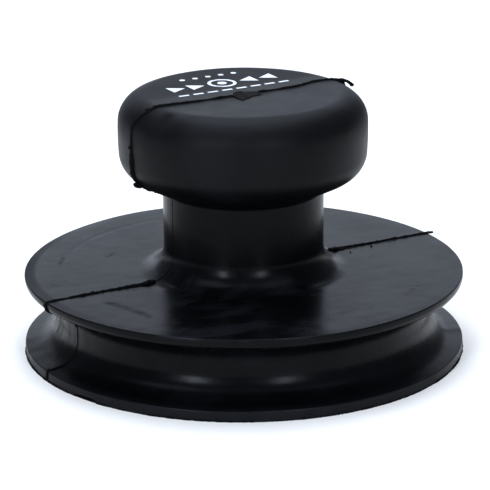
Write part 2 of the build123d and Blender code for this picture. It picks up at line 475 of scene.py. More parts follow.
def dull_map(x, y, z, broad):
    """Dull rubber: the flange's left edge, the printed half, the knob's shoulder, groove and rim."""
    r, angle = np.hypot(x, y), np.arctan2(y, x)
    flange_edge = step_up(56.9, 57.7, r) * (0.04 + 0.96 * beside(angle, 178, 46))
    printed_half = step_up(3.0, 8.0, across_seam(x, y))
    shoulder = step_up(KNOB_TOP - 11, KNOB_TOP - 7, z) * step_up(25.5, 29.0, r)
    in_groove = step_up(RIM_TOP, RIM_TOP + 2, z) * step_up(WALL_TOP + 3, WALL_TOP + 1, z)
    streaky = step_up(0.42, 0.66, value_noise(angle * WAIST, z * 0.12, r * 0.1, 1.6, 3))
    low_rim = step_up(RIM_TOP + 1.5, RIM_TOP - 1, z) * step_up(53, 55, r)
    dull = np.maximum(on_flange_top(z) * flange_edge, 0.45 * on_knob_top(z) * printed_half)
    dull = np.maximum(dull, 0.5 * shoulder)
    dull = np.maximum(dull, in_groove * (r > WAIST - 1) * beside(angle, 180, 50) * streaky)
    return np.maximum(dull, 0.7 * low_rim * step_up(0.5, 0.7, broad))


def wear(points):
    """Bloom with the painted floor reflection on the rim's edge (0 to 2), grime and dullness (0 to 1) of the
    skin at points in mm.
    """
    x, y, z = points[..., 0], points[..., 1], points[..., 2]
    turned = (x * 0.94 + y * 0.34, (y * 0.94 - x * 0.34) * 2.2)
    broad = value_noise(*turned, z, 15.0, 4)
    fine = value_noise(x, y, z, 2.4, 3)
    bloom_and_sheen = np.clip(bloom_and_sheen_map(x, y, z, broad, fine), 0, 2)
    grime = np.clip(grime_map(x, y, z, fine), 0, 1)
    dull = np.clip(dull_map(x, y, z, broad), 0, 1)
    return np.stack([bloom_and_sheen, grime, dull], axis=-1)


SKIN_WEAR_AND_SHEEN = wear(SKIN)


# ---------------------------------------------------------------- zones

def collection_add(name, mesh):
    piece = bpy.data.objects.new(name, mesh)
    bpy.context.scene.collection.objects.link(piece)
    return piece


def skin(part):
    """Rings of the skin along one part of the outline."""
    start, end = SPANS[part]
    return [("skin", index) for index in range(start, end + 1)]


def joint_rings(*points):
    """Plain rings across a joint face, at (radius, height) points."""
    return [("joint", point) for point in points]


def ring_values(kind, place):
    """Points, normals and wear of one ring, the wear also holding the rim edge's painted sheen. A ring on the
    axis is a single point.
    """
    if kind == "skin":
        values = SKIN[place], SKIN_NORMALS[place], SKIN_WEAR_AND_SHEEN[place]
    else:
        circle = np.stack([np.cos(ANGLES), np.sin(ANGLES), np.zeros(AROUND)], axis=1)
        ring = circle * place[0] + np.array([0, 0, place[1]])
        values = ring, np.zeros_like(ring), np.zeros_like(ring)
    lone = np.hypot(*values[0][0, :2]) < 1e-6
    return [value[:1] for value in values] if lone else values


def ring_faces(rings, counts):
    """Faces between neighbouring rings, the last one and the first too, and which of them are skin."""
    starts = np.concatenate([[0], np.cumsum(counts)])
    lone = [count == 1 for count in counts]
    step = np.arange(AROUND)
    after = (step + 1) % AROUND
    faces, smooth = [], []
    for i in range(len(rings)):
        k = (i + 1) % len(rings)
        if lone[i] and lone[k]:
            continue
        a, b = starts[i] + step * (not lone[i]), starts[i] + after * (not lone[i])
        c, d = starts[k] + after * (not lone[k]), starts[k] + step * (not lone[k])
        if lone[i]:
            block = np.column_stack([a, c, d])
        elif lone[k]:
            block = np.column_stack([a, b, c])
        else:
            block = np.column_stack([a, b, c, d])
        is_skin = rings[i][0] == rings[k][0] == "skin" and rings[k][1] == rings[i][1] + 1
        faces.extend(block.tolist())
        smooth.extend([is_skin] * len(block))
    return faces, smooth


def share_normals(mesh, normals, smooth):
    """Give the skin faces the whole skin's normals, and leave the joint faces flat."""
    corners = np.zeros(len(mesh.loops), np.int32)
    mesh.loops.foreach_get("vertex_index", corners)
    totals = np.zeros(len(mesh.polygons), np.int32)
    mesh.polygons.foreach_get("loop_total", totals)
    of_skin = np.repeat(np.array(smooth), totals)
    mesh.normals_split_custom_set((normals[corners] * of_skin[:, None]).tolist())


def make_zone(name, *stretches):
    """A closed solid turned from rings: skin stretches and the plain joint faces between them."""
    rings = [ring for stretch in stretches for ring in stretch]
    positions, normals, wear_and_sheen = zip(*(ring_values(kind, place) for kind, place in rings))
    faces, smooth = ring_faces(rings, [len(ring) for ring in positions])
    mesh = bpy.data.meshes.new(name)
    mesh.from_pydata((np.vstack(positions) * MM).tolist(), [], faces)
    mesh.polygons.foreach_set("use_smooth", smooth)
    mesh.update()
    wear_and_sheen = np.vstack(wear_and_sheen)
    # The wear attribute holds bloom, grime and dullness; its bloom also holds the painted floor reflection on
    # the rim's edge.
    marks = mesh.attributes.new("wear", "FLOAT_COLOR", "POINT")
    marks.data.foreach_set("color", np.column_stack([wear_and_sheen, np.ones(len(wear_and_sheen))]).ravel())
    share_normals(mesh, np.vstack(normals), smooth)
    return collection_add(name, mesh)


def make_zones():
    """The eight zones of the moulding. The flared root is two pieces, one below its hinges and one above."""
    return {
        "lower_flange": make_zone("lower_flange_skin", skin("rim"), joint_rings((LIP, RIM_TOP))),
        "sealing_lip": make_zone("sealing_lip_skin", skin("lip"), joint_rings((LIP, RIM_TOP))),
        "bell_wall": make_zone(
            "bell_wall_skin",
            skin("cup_wall"),
            joint_rings((LIP, RIM_TOP)),
            skin("wall"),
            joint_rings((CROWN, WALL_TOP)),
        ),
        "upper_flange": make_zone("upper_flange_skin", skin("flange"), joint_rings((CROWN, WALL_TOP))),
        "bell_crown": make_zone(
            "bell_crown_skin",
            skin("cup_roof"),
            joint_rings((CROWN, WALL_TOP)),
            skin("crown"),
            joint_rings((ROOT_FOOT, ROOT_SEAT), (0, ROOT_SEAT)),
        ),
        "root_low": make_zone(
            "neck_root_low_skin",
            skin("root_low"),
            joint_rings((0, HINGE), (0, ROOT_SEAT), (ROOT_FOOT, ROOT_SEAT)),
        ),
        "root_high": make_zone(
            "neck_root_high_skin", skin("root_high"), joint_rings((0, ROOT_TOP), (0, HINGE))
        ),
        "neck": make_zone("neck_skin", skin("neck"), joint_rings((0, NECK_TOP), (0, ROOT_TOP))),
        "knob": make_zone("knob_skin", skin("knob"), joint_rings((0, NECK_TOP))),
    }


# ---------------------------------------------------------------- ragged edges and flash

def ragged(distance, grain, seed):
    """Repeatable uneven values from 0 to 1 along a distance, changing over about one grain."""
    place = np.asarray(distance, float) / grain
    table = np.random.default_rng(seed).uniform(0, 1, 4096)
    whole = np.floor(place).astype(int)
    share = place - whole
    share = share * share * (3 - 2 * share)
    return table[whole % 4096] * (1 - share) + table[(whole + 1) % 4096] * share


def strip_mesh(sections, closed=False):
    """Vertices and faces of a solid through cross-sections, capped at its ends or closed in a ring."""
    count, size = sections.shape[:2]
    caps = [list(range(size))[::-1], list(range((count - 1) * size, count * size))]
    faces = [] if closed else caps
    for i in range(count if closed else count - 1):
        n = (i + 1) % count
        for j in range(size):
            k = (j + 1) % size
            faces.append([i * size + j, i * size + k, n * size + k, n * size + j])
    return sections.reshape(-1, 3), faces


def seam_drift(along, z):
    """How far the flash on the knob's top runs in front of the seam plane, by place along the seam."""
    on_top = step_up(KNOB_TOP - 5, KNOB_TOP - 0.5, z)
    return on_top * KNOB_DRIFT * step_up(24.0, 14.0, along)


def skin_path(part, side, spacing=0.22):
    """Points and normals of the skin along one part of the outline, on one side of the seam."""
    start, end = SPANS[part]
    flat, lean = OUTLINE[start:end + 1], NORMALS[start:end + 1]
    lengths = np.concatenate([[0], np.cumsum(np.linalg.norm(np.diff(flat, axis=0), axis=1))])
    places = np.linspace(0, lengths[-1], max(6, int(lengths[-1] / spacing)))
    r, z = (np.interp(places, lengths, flat[:, axis]) for axis in (0, 1))
    nr, nz = (np.interp(places, lengths, lean[:, axis]) for axis in (0, 1))
    turn = np.arcsin(np.clip(seam_drift(side * r, z) / np.maximum(r, 1e-6), -1, 1))
    angle = (SEAM if side > 0 else SEAM + math.pi) - side * turn
    offset = unevenness(r, angle, z)
    out = np.column_stack([np.cos(angle), np.sin(angle), np.zeros_like(r)])
    points = out * (r + offset * nr)[:, None] + np.outer(z + offset * nz, [0, 0, 1])
    normals = out * nr[:, None] + np.outer(nz, [0, 0, 1])
    return points, normals, places, r, z


# A fin's profile: shares of its half width, and of its height above the skin or of 1 mm below it
FIN_PROFILE = ((-1, -0.2), (-0.8, 0.45), (-0.28, 1.0), (0.28, 1.0), (0.8, 0.45), (1, -0.2))


def fin_sections(path, width, height, wander, seed):
    """Cross-sections of a torn fin that stands on the skin along a path."""
    points, normals, places = path[:3]
    sway = wander * (ragged(places, 7.0, seed) + 0.3 * ragged(places, 1.1, seed + 1) - 0.65)
    lean = 0.8 * wander * (ragged(places, 2.6, seed + 2) - 0.5)
    half = width * (0.40 + 0.20 * ragged(places, 2.2, seed + 3))
    sections = []
    for across, up in FIN_PROFILE:
        rise = np.maximum(up, 0) * height + np.minimum(up, 0)
        side = sway + across * half + lean * max(up, 0)
        sections.append(points + normals * rise[:, None] + side[:, None] * SEAM_ACROSS)
    return np.stack(sections, axis=1)


# A torn scrap: sides of its cross-section, and how much of its size its two ends keep
TORN_SIDES = 9
TORN_START = 0.35
TORN_END = 0.7


def seam_point(along, across, z):
    """A point of the seam plane, moved sideways, in mm."""
    return along * SEAM_OUT + across * SEAM_ACROSS + np.array([0, 0, z])


def torn_bit(points, sizes, seed):
    """A scrap of torn flash: a lumpy string through (along, across, z) points of given half sizes."""
    points, sizes = np.array(points, float), np.array(sizes, float)
    steps = np.arange(len(points))
    fine = np.linspace(0, len(points) - 1, 7 * (len(points) - 1) + 1)
    path = np.column_stack([np.interp(fine, steps, points[:, axis]) for axis in range(3)])
    half = np.column_stack([np.interp(fine, steps, sizes[:, axis]) for axis in range(2)])
    half[0] *= TORN_START
    half[-1] *= TORN_END
    run = np.gradient(path, axis=0)
    run /= np.linalg.norm(run, axis=1)[:, None]
    sections = []
    for corner in range(TORN_SIDES):
        turn = 2 * np.pi * corner / TORN_SIDES
        lump = 0.65 + 0.6 * ragged(fine * 3, 1.0, seed + corner)
        across = np.cos(turn) * half[:, 0] * lump
        up = np.sin(turn) * half[:, 1] * lump
        along = path[:, 0] - up * run[:, 2]
        rows = np.column_stack([along, path[:, 1] + across, path[:, 2] + up * run[:, 0]])
        sections.append(np.array([seam_point(*row) for row in rows]))
    return strip_mesh(np.stack(sections, axis=1))


def combine(name, blocks):
    """One object from several blocks of vertices and faces."""
    vertices, faces, total = [], [], 0
    for block_vertices, block_faces in blocks:
        vertices.append(block_vertices)
        faces.extend([[index + total for index in face] for face in block_faces])
        total += len(block_vertices)
    mesh = bpy.data.meshes.new(name)
    mesh.from_pydata((np.vstack(vertices) * MM).tolist(), [], faces)
    mesh.update()
    return collection_add(name, mesh)


def swelling(r, z, spots):
    """Local gain of a fin from (radius, height, spread, gain) spots."""
    gain = np.zeros_like(r)
    for spot_r, spot_z, spread, amount in spots:
        gain += amount * np.maximum(0, 1 - np.hypot(r - spot_r, z - spot_z) / spread)
    return gain


def fin(name, part, width, height, wander, seed, swells=None, scraps=(), crumbs=(), keep=None):
    """The flash on one part of the outline: a strip on each side, torn scraps and loose crumbs."""
    blocks = []
    for side in (1, -1):
        path = skin_path(part, side)
        places, r, z = path[2:]
        gain = swelling(r, z, (swells or {}).get(side, ()))
        torn = 0.55 * ragged(places, 3.4, seed + 10 * side) + 0.5 * ragged(places, 0.8, seed + 40) ** 3
        rise = height * (0.5 + torn) * (1 + gain)
        wide = width * (1 + 0.8 * gain)
        if keep is not None:
            kept = keep(r, z)
            path = [values[kept] for values in path]
            rise, wide, z = rise[kept], wide[kept], z[kept]
        rise = np.minimum(rise, np.maximum(FIN_CEILING - z, 0.3 * rise))
        sections = fin_sections(path, wide, rise, wander, seed + 20 * side)
        blocks.append(strip_mesh(sections[:, ::side]))  # faces outwards on both sides
    for index, (points, sizes) in enumerate(scraps):
        blocks.append(torn_bit(points, sizes, seed + 7 * index))
    blocks.extend(crumbs)
    return combine(name, blocks)


# Torn scraps: (along the seam, across it, height) points and (half width, half height) sizes, in mm.
# Along the seam, plus is the far right end and minus is the near left end.
FLANGE_SCRAPS = (
    (((58.6, 0, 22.2), (60.4, 0.1, 22.35), (61.9, 0.1, 22.2)), ((0.3, 0.2), (0.5, 0.38), (0.42, 0.34))),
    (((-59.4, 0, 22.2), (-60.3, 0.1, 21.4), (-60.0, 0, 20.2), (-59.0, 0, 19.2)),
     ((0.45, 0.3), (0.5, 0.35), (0.42, 0.35), (0.3, 0.3))),
)
CROWN_SCRAPS = (
    (((33.4, 0, 22.2), (31.0, -0.2, 22.5), (28.8, -0.1, 22.7), (27.2, 0.1, 22.8)),
     ((0.4, 0.2), (0.95, 0.35), (1.1, 0.42), (0.6, 0.35))),
    (((-33.0, 0, 22.3), (-30.0, -0.3, 22.6), (-27.4, 0.1, 22.8)), ((0.35, 0.2), (0.75, 0.4), (0.5, 0.35))),
    (((-47.0, 0.3, 22.3), (-45.6, 0.5, 22.6)), ((0.3, 0.25), (0.4, 0.3))),
)
KNOB_SCRAPS = (
    (((28.9, 0, 70.9), (31.0, 0, 71.0), (32.6, 0.1, 70.5), (33.8, 0.1, 69.7), (34.7, 0, 68.8)),
     ((0.45, 0.42), (0.50, 0.46), (0.50, 0.44), (0.50, 0.42), (0.62, 0.58))),
    (((-30.4, 0, 50.0), (-31.5, 0, 49.9), (-32.5, 0.1, 50.2), (-33.2, 0, 50.9)),
     ((0.5, 0.45), (0.65, 0.62), (0.65, 0.60), (0.5, 0.45))),
    (((-33.6, 0, 61.7), (-34.4, 0.1, 61.0), (-33.9, 0, 60.0)), ((0.3, 0.2), (0.4, 0.35), (0.3, 0.25))),
    (((-21.4, -2.0, 71.7), (-22.6, -1.7, 71.9)), ((0.3, 0.2), (0.3, 0.2))),
    (((-26.3, -1.7, 71.7), (-27.4, -1.3, 71.6)), ((0.35, 0.25), (0.3, 0.2))),
    (((-28.6, -1.2, 71.2), (-29.9, -0.8, 70.8)), ((0.4, 0.3), (0.35, 0.25))),
)
RIM_SCRAPS = ((((-59.6, 0, 3.6), (-60.3, 0, 2.6), (-60.4, 0, 0.7)), ((0.3, 0.2), (0.4, 0.3), (0.3, 0.3))),)
KNOB_SWELLS = {-1: ((33.7, 58.0, 9.0, 0.7), (28.0, 71.0, 5.0, 0.6)), 1: ((31.0, 71.0, 3.0, 0.9),)}
CROWN_SWELLS = {-1: ((29.5, 22.3, 4.0, 1.0),), 1: ((30.0, 22.3, 3.5, 1.2),)}

# Loose crumbs of rubber on the upper flange: x, y and half size in mm
CRUMB_SIDES = 10
FLANGE_CRUMBS = ((35.8, 17.0, 0.32), (29.7, 11.7, 0.26), (41.2, 20.6, 0.18))

# The rim's flash stops above the flat foot, and the knob's stops at the gate
FOOT_CLEARANCE = 0.25
GATE_EDGE = 4.2


def circle_points(centre, radius, count=48):
    angles = np.linspace(0, 2 * np.pi, count, endpoint=False)
    return np.column_stack([centre[0] + radius * np.cos(angles), centre[1] + radius * np.sin(angles)])


def crumb(x, y, size, seed):
    """A small irregular grain that rests on the upper flange."""
    rng = np.random.default_rng(seed)
    rows = []
    for share, rise in ((0.9, -0.1), (1.0, 0.35), (0.75, 0.8), (0.3, 1.05)):
        loop = circle_points((x, y), 1.0, CRUMB_SIDES)
        uneven = size * share * rng.uniform(0.7, 1.2, CRUMB_SIDES)
        loop = (x, y) + (loop - (x, y)) * uneven[:, None]
        rows.append(np.column_stack([loop, np.full(CRUMB_SIDES, FLANGE_TOP + size * rise)]))
    return strip_mesh(np.stack(rows, axis=0))


def make_flash():
    """Flash on every zone: width, height and wander in mm, largest where the rubber tore."""
    crumbs = [crumb(*place, seed) for seed, place in enumerate(FLANGE_CRUMBS)]
    return {
        "rim": fin("rim_flash_line", "rim", 0.42, 0.30, 0.12, 101, scraps=RIM_SCRAPS,
                   keep=lambda r, z: z > FOOT_CLEARANCE),
        "wall": fin("waist_flash_line", "wall", 0.32, 0.18, 0.12, 131),
        "flange": fin("flange_flash_line", "flange", 0.60, 0.46, 0.26, 161, scraps=FLANGE_SCRAPS),
        "crown": fin("crown_flash_line", "crown", 0.62, 0.48, 0.28, 191, CROWN_SWELLS, CROWN_SCRAPS,
                     crumbs),
        "root_low": fin("root_low_flash_line", "root_low", 0.34, 0.16, 0.12, 221),
        "root_high": fin("root_high_flash_line", "root_high", 0.26, 0.10, 0.05, 251),
        "neck": fin("neck_flash_line", "neck", 0.26, 0.10, 0.04, 281),
        "knob": fin("knob_flash_line", "knob", 0.82, 0.50, 0.22, 311, KNOB_SWELLS, KNOB_SCRAPS,
                    keep=lambda r, z: r > GATE_EDGE),
    }


# The burr's largest reach, its tufts as (angle, spread, reach) in degrees and mm, and its profile
# as shares of its reach and height. The first and last points lie inside the rim.
BURR_MOST = 0.29
BURR_TUFTS = ((-127.6, 2.2, 0.45), (-141.5, 1.5, 0.25), (-8.0, 1.2, 0.20))
BURR_PROFILE = ((-0.3, 1.0), (0.4, 0.9), (1.0, 0.45), (1.0, 0.0), (-0.3, 0.0))


def ragged_round(lap, whole, grain, seed):
    """Ragged values round the rim, faded over the first stretch so that the ends meet."""
    fade = step_up(0, 12, lap)
    return ragged(lap, grain, seed) * fade + ragged(lap + whole, grain, seed) * (1 - fade)


def make_burr():
    """The ragged skirt round the rim's lower edge, where the moulding was trimmed."""
    angles = np.linspace(0, 2 * np.pi, AROUND * 3, endpoint=False)
    fine = ragged_round(RIM * angles, RIM * 2 * np.pi, 0.55, 41)
    broad = ragged_round(RIM * angles, RIM * 2 * np.pi, 5.0, 42)
    out = 0.07 + 0.38 * fine * (0.25 + 0.9 * broad)
    for place, spread, tuft in BURR_TUFTS:
        out = out + tuft * beside(angles, place, spread)
    away = np.abs(np.degrees(angles) - 360 - NOTCH)
    out = out * (1 - 0.97 * step_up(NOTCH_HALF, NOTCH_HALF - 0.8, away))
    out = np.minimum(out, BURR_MOST)
    rise = 0.12 + 0.25 * broad + 0.3 * fine
    section = []
    for reach_share, height_share in BURR_PROFILE:
        radius = RIM + np.where(reach_share > 0, reach_share * out, reach_share)
        height = 0.02 + height_share * rise
        section.append(np.stack([radius * np.cos(angles), radius * np.sin(angles), height], axis=1))
    return combine("rim_burr_edge", [strip_mesh(np.stack(section, axis=1), closed=True)])


# ---------------------------------------------------------------- print and gate

def knob_top_height(x, y):
    """Height of the knob's uneven top at points of the plane, in mm."""
    r, angle = np.hypot(x, y), np.arctan2(y, x)
    return KNOB_TOP + unevenness(r, angle, np.full_like(r, KNOB_TOP))


def print_shape(outline, inner=None):
    """A thin layer of ink: a flat shape on the knob's top, given along and across the seam."""
    rows = []
    for loop in [outline] if inner is None else [outline, inner]:
        loop = np.array(loop, float)
        flat = np.outer(loop[:, 0], SEAM_OUT) + np.outer(loop[:, 1], SEAM_ACROSS)
        height = knob_top_height(flat[:, 0], flat[:, 1])
        layer = [flat + np.outer(height + step, [0, 0, 1]) for step in (-INK_BELOW, INK_ABOVE)]
        rows.extend(layer if not rows else layer[::-1])
    return [strip_mesh(np.stack(rows), closed=inner is not None)]


INK_BELOW = 0.02
INK_ABOVE = 0.05
ICON_ROW = 11.5
RING = 4.0
RING_LINE = 0.9
RING_DOT = 1.3
ARROW = 3.0
ARROW_START = 8.5
ARROW_PITCH = 6.0
ARROW_COUNT = 2
DASH_ROW = 4.6
DASH = (3.0, 0.9)
DASH_PITCH = 4.4
DASH_COUNT = 8
DOT_ROW = 19.5
DOT = 0.8
DOT_PITCH = 4.0
DOT_COUNT = 5


def make_print():
    """A plain pictogram, arrowheads that point at a ring, between a row of dashes and a row of dots."""
    middle = (0, ICON_ROW)
    icons = print_shape(circle_points(middle, RING), circle_points(middle, RING - RING_LINE))
    icons += print_shape(circle_points(middle, RING_DOT, 24))
    for side in (-1, 1):
        for place in range(ARROW_COUNT):
            centre = (side * (ARROW_START + place * ARROW_PITCH), ICON_ROW)
            head = circle_points((0, 0), ARROW, 3) * (-side, 1)
            icons += print_shape((head + centre)[:: -side])
    marks = []
    for place in range(DASH_COUNT):
        middle = (place - (DASH_COUNT - 1) / 2) * DASH_PITCH
        x0, x1 = middle - DASH[0] / 2, middle + DASH[0] / 2
        y0, y1 = DASH_ROW - DASH[1] / 2, DASH_ROW + DASH[1] / 2
        marks += print_shape([(x0, y0), (x1, y0), (x1, y1), (x0, y1)])
    for place in range(DOT_COUNT):
        middle = (place - (DOT_COUNT - 1) / 2) * DOT_PITCH
        marks += print_shape(circle_points((middle, DOT_ROW), DOT, 20))
    return combine("printed_icons_ink", icons), combine("printed_marks_ink", marks)


# The gate's outline as (along, across) the seam. Its loops are shares of that outline, from the skin
# inwards, each with its share of the full height. The first one is sunk into the rubber.
GATE_OUTLINE = (
    (-2.3, 0.2), (-4.6, -2.6), (-4.4, -7.6), (-0.6, -5.6), (2.9, -4.9), (3.8, -1.6), (1.1, -0.4)
)
GATE_SHARES = (1.03, 1.0, 0.97, 0.9, 0.8, 0.68, 0.55, 0.42, 0.28, 0.14)
GATE_FULL = (0, 0.55) + (0.9,) * (len(GATE_SHARES) - 2)
GATE_SUNK = 0.15


def gate_height(along, across):
    """Height of the torn gate: a lifted flap on the left, sloping to the front, and a low slab."""
    flap = step_up(0.4, -0.9, along)
    slope = 0.18 + 0.45 * np.clip((across + 7.0) / 6.5, 0, 1)
    rough = value_noise(along, across, 0 * along, 0.9, 3) - 0.5
    return flap * slope + (1 - flap) * 0.2 + 0.22 * rough


def make_gate():
    """The torn stub of the gate, with a ragged outline and a broken face."""
    outline = np.array(GATE_OUTLINE)
    fine = []
    for start, end in zip(outline, np.roll(outline, -1, axis=0)):
        fine.extend(start + (end - start) * share for share in np.linspace(0, 1, 13)[:-1])
    fine = np.array(fine)
    middle = fine.mean(axis=0)
    steps = np.arange(len(fine))
    jag = ragged(steps, 2.0, 71) + 0.6 * ragged(steps, 1.0, 72) - 0.8
    out = (fine - middle) / np.linalg.norm(fine - middle, axis=1)[:, None]
    fine = fine + out * 0.55 * jag[:, None]
    rows = []
    for share, full in zip(GATE_SHARES, GATE_FULL):
        loop = middle + (fine - middle) * share
        flat = np.outer(loop[:, 0], SEAM_OUT) + np.outer(loop[:, 1], SEAM_ACROSS)
        lift = gate_height(loop[:, 0], loop[:, 1]) * full - GATE_SUNK * (full == 0)
        rows.append(flat + np.outer(knob_top_height(flat[:, 0], flat[:, 1]) + lift, [0, 0, 1]))
    return combine("gate_vestige_torn", [strip_mesh(np.stack(rows))])


# ---------------------------------------------------------------- materials

# Bloom's pale colour, also used as a painted floor reflection on the rim's upright edge.
BLOOM_AND_SHEEN_SHARE = 0.55
BLOOM_AND_SHEEN_COLOUR = (0.012, 0.013, 0.016)
GRIME_COLOUR = (0.0015, 0.0015, 0.0015)


def ramp(tree, source, stops):
    """A colour ramp on a value, from (place, grey or colour) stops."""
    made = tree.nodes.new("ShaderNodeValToRGB")
    elements = made.color_ramp.elements
    while len(elements) < len(stops):
        elements.new(0.5)
    for element, (place, value) in zip(elements, stops):
        element.position = place
        colour = (value, value, value) if isinstance(value, (int, float)) else value
        element.color = (*colour, 1)
    tree.links.new(source, made.inputs["Fac"])
    return made.outputs["Color"]


def noise(tree, vector, scale, detail=2.0, roughness=0.5):
    made = tree.nodes.new("ShaderNodeTexNoise")
    made.inputs["Scale"].default_value = scale
    made.inputs["Detail"].default_value = detail
    made.inputs["Roughness"].default_value = roughness
    tree.links.new(vector, made.inputs["Vector"])
    return made.outputs["Fac"]


def math_node(tree, operation, a, b):
    made = tree.nodes.new("ShaderNodeMath")
    made.operation = operation
    for socket, value in zip(made.inputs, (a, b)):
        if isinstance(value, (int, float)):
            socket.default_value = value
        else:
            tree.links.new(value, socket)
    return made.outputs[0]


def bump(tree, height, distance, strength, normal=None):
    made = tree.nodes.new("ShaderNodeBump")
    made.inputs["Strength"].default_value = strength
    made.inputs["Distance"].default_value = distance
    tree.links.new(height, made.inputs["Height"])
    if normal is not None:
        tree.links.new(normal, made.inputs["Normal"])
    return made.outputs["Normal"]


def start_material(name):
    material = bpy.data.materials.new(name)
    material.use_nodes = True
    tree = material.node_tree
    shader = tree.nodes["Principled BSDF"]
    coordinates = tree.nodes.new("ShaderNodeTexCoord").outputs["Object"]
    return material, tree, shader, coordinates


def mix_colour(tree, share, first, second):
    """A colour between two, by a value. Each may be a colour or a socket."""
    made = tree.nodes.new("ShaderNodeMix")
    made.data_type = "RGBA"
    tree.links.new(share, made.inputs["Factor"])
    for socket, value in ((made.inputs[6], first), (made.inputs[7], second)):
        if isinstance(value, tuple):
            socket.default_value = (*value, 1)
        else:
            tree.links.new(value, socket)
    return made.outputs[2]


# How much each mark adds to the roughness
ROUGHER = {"scratch": 0.06, "bloom_and_sheen": 0.04, "grime": 0.26, "dull": 0.22}


def scratch_lines(tree, place, patches):
    """Fine parallel scratches, only where the rubber's patches are light."""
    stretched = tree.nodes.new("ShaderNodeMapping")
    stretched.inputs["Rotation"].default_value = (0, 0, 0.7)
    stretched.inputs["Scale"].default_value = (30, 700, 120)
    tree.links.new(place, stretched.inputs["Vector"])
    lines = ramp(tree, noise(tree, stretched.outputs[0], 1.0, 2.0), [(0.68, 0.0), (0.73, 1.0)])
    return math_node(tree, "MULTIPLY", lines, ramp(tree, patches, [(0.5, 0.0), (0.62, 1.0)]))


def rubber(name, dark, light, rough, level, wave):
    """Satin moulded rubber: mottled tone, pores, scratches and the wear map's marks, whose bloom also holds a
    painted floor reflection on the rim's edge.
    """
    material, tree, shader, place = start_material(name)
    marks = tree.nodes.new("ShaderNodeAttribute")
    marks.attribute_name = "wear"
    split = tree.nodes.new("ShaderNodeSeparateColor")
    tree.links.new(marks.outputs["Color"], split.inputs[0])
    bloom_and_sheen, grime, dull = split.outputs[:3]
    patches = noise(tree, place, 60.0, 5.0, 0.6)
    grain = noise(tree, place, 1300.0, 3.0, 0.6)
    tone = math_node(tree, "ADD", math_node(tree, "MULTIPLY", patches, 0.8),
                     math_node(tree, "MULTIPLY", grain, 0.2))
    colour = ramp(tree, tone, [(0.32, dark), (0.68, light)])
    # Bloom lightens the base colour; on the rim's upright edge this lighter band is painted reflection of the
    # floor.
    colour = mix_colour(tree, math_node(tree, "MULTIPLY", bloom_and_sheen, BLOOM_AND_SHEEN_SHARE), colour, BLOOM_AND_SHEEN_COLOUR)
    colour = mix_colour(tree, grime, colour, GRIME_COLOUR)
    tree.links.new(colour, shader.inputs["Base Color"])
    scratches = scratch_lines(tree, place, patches)
    gloss = ramp(tree, tone, [(0.32, rough[0]), (0.68, rough[1])])
    for value, mark in ((scratches, "scratch"), (bloom_and_sheen, "bloom_and_sheen"), (grime, "grime"), (dull, "dull")):
        gloss = math_node(tree, "ADD", gloss, math_node(tree, "MULTIPLY", value, ROUGHER[mark]))
    tree.links.new(gloss, shader.inputs["Roughness"])
    pores = bump(tree, grain, 0.00002, 0.2)
    waves = bump(tree, noise(tree, place, 150.0, 4.0, 0.55), 0.00010, wave, pores)
    lines = bump(tree, scratches, 0.00002, 0.3, waves)
    tree.links.new(bump(tree, grime, 0.00004, 0.5, lines), shader.inputs["Normal"])
    shader.inputs["Specular IOR Level"].default_value = level
    return material


def torn_rubber():
    """Rough torn rubber of the flash, the burr and the gate."""
    material, tree, shader, place = start_material("torn_rubber")
    fine = noise(tree, place, 2600.0, 4.0, 0.65)
    tree.links.new(ramp(tree, fine, [(0.3, 0.0010), (0.75, 0.0035)]), shader.inputs["Base Color"])
    tree.links.new(ramp(tree, fine, [(0.3, 0.55), (0.7, 0.8)]), shader.inputs["Roughness"])
    tree.links.new(bump(tree, fine, 0.0001, 0.7), shader.inputs["Normal"])
    shader.inputs["Specular IOR Level"].default_value = 0.05
    return material


def white_ink():
    """Matt white ink, thin in places so that the black rubber greys it."""
    material, tree, shader, place = start_material("white_ink")
    fine = noise(tree, place, 1500.0, 5.0, 0.6)
    wear = noise(tree, place, 260.0, 4.0, 0.6)
    tone = math_node(tree, "ADD", math_node(tree, "MULTIPLY", fine, 0.45),
                     math_node(tree, "MULTIPLY", wear, 0.55))
    stops = [(0.34, (0.30, 0.31, 0.33)), (0.46, (0.74, 0.75, 0.77)), (0.7, (0.86, 0.87, 0.88))]
    tree.links.new(ramp(tree, tone, stops), shader.inputs["Base Color"])
    tree.links.new(ramp(tree, fine, [(0.3, 0.45), (0.7, 0.65)]), shader.inputs["Roughness"])
    tree.links.new(bump(tree, fine, 0.00002, 0.4), shader.inputs["Normal"])
    return material


def floor_paper():
    """Plain warm white studio paper with a trace of mottling, which evens out the lights' tint."""
    material, tree, shader, place = start_material("floor_paper")
    fine = noise(tree, place, 40.0, 3.0, 0.5)
    warm = ramp(tree, fine, [(0.3, (0.93, 0.89, 0.82)), (0.7, (0.96, 0.92, 0.85))])
    tree.links.new(warm, shader.inputs["Base Color"])
    shader.inputs["Roughness"].default_value = 0.9
    shader.inputs["Specular IOR Level"].default_value = 0.1
    return material


def finish_piece(piece, material, body, cad_node):
    """Give a piece its material and the body that it rides on, and hide the CAD node that it stands for."""
    piece.data.materials.append(material)
    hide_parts(cad_node)
    if body is not None:
        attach(piece, body)


def height(z):
    return (0, 0, z * MM)


